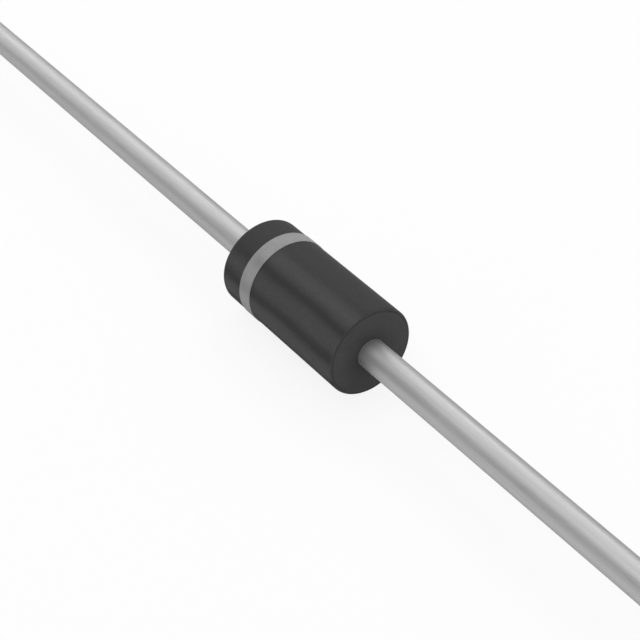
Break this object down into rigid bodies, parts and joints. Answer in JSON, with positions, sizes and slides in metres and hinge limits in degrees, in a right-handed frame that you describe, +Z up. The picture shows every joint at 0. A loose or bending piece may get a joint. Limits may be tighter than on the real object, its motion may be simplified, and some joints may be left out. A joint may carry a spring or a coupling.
{
  "type": "axial rectifier diode",
  "caption": "Moulded cylindrical rectifier diode with a printed band at the cathode end and a straight tinned wire out of each end, for soldering into a board.",
  "frame": {"origin": "centre of the moulded body, on the axis of the wires", "axes": "+X along the axis towards the free end of the anode wire, so the banded cathode end is at -X; +Z up; the part is round about X, so Y and Z follow the flat sides of the chip"},
  "size_m": [0.056, 0.0028, 0.0028],
  "materials": {
    "moulded_epoxy": "dark grey moulded epoxy, fine matt surface with a soft sheen",
    "band_ink": "light grey printed ink, matt",
    "tinned_wire": "satin tin plate on copper wire, with faint drawing marks along it",
    "silicon": "etched silicon with metallised faces, dark grey and shiny",
    "solder": "dull grey high-temperature solder",
    "silicone_coating": "milky white silicone, smooth and slightly glossy"
  },
  "bodies": {
    "root": {"moulded_body": "moulded_epoxy", "cathode_band": "band_ink", "anode_lead": "tinned_wire", "cathode_lead": "tinned_wire", "silicon_chip": "silicon", "anode_solder": "solder", "cathode_solder": "solder", "junction_coating": "silicone_coating"}
  },
  "joints": []
}
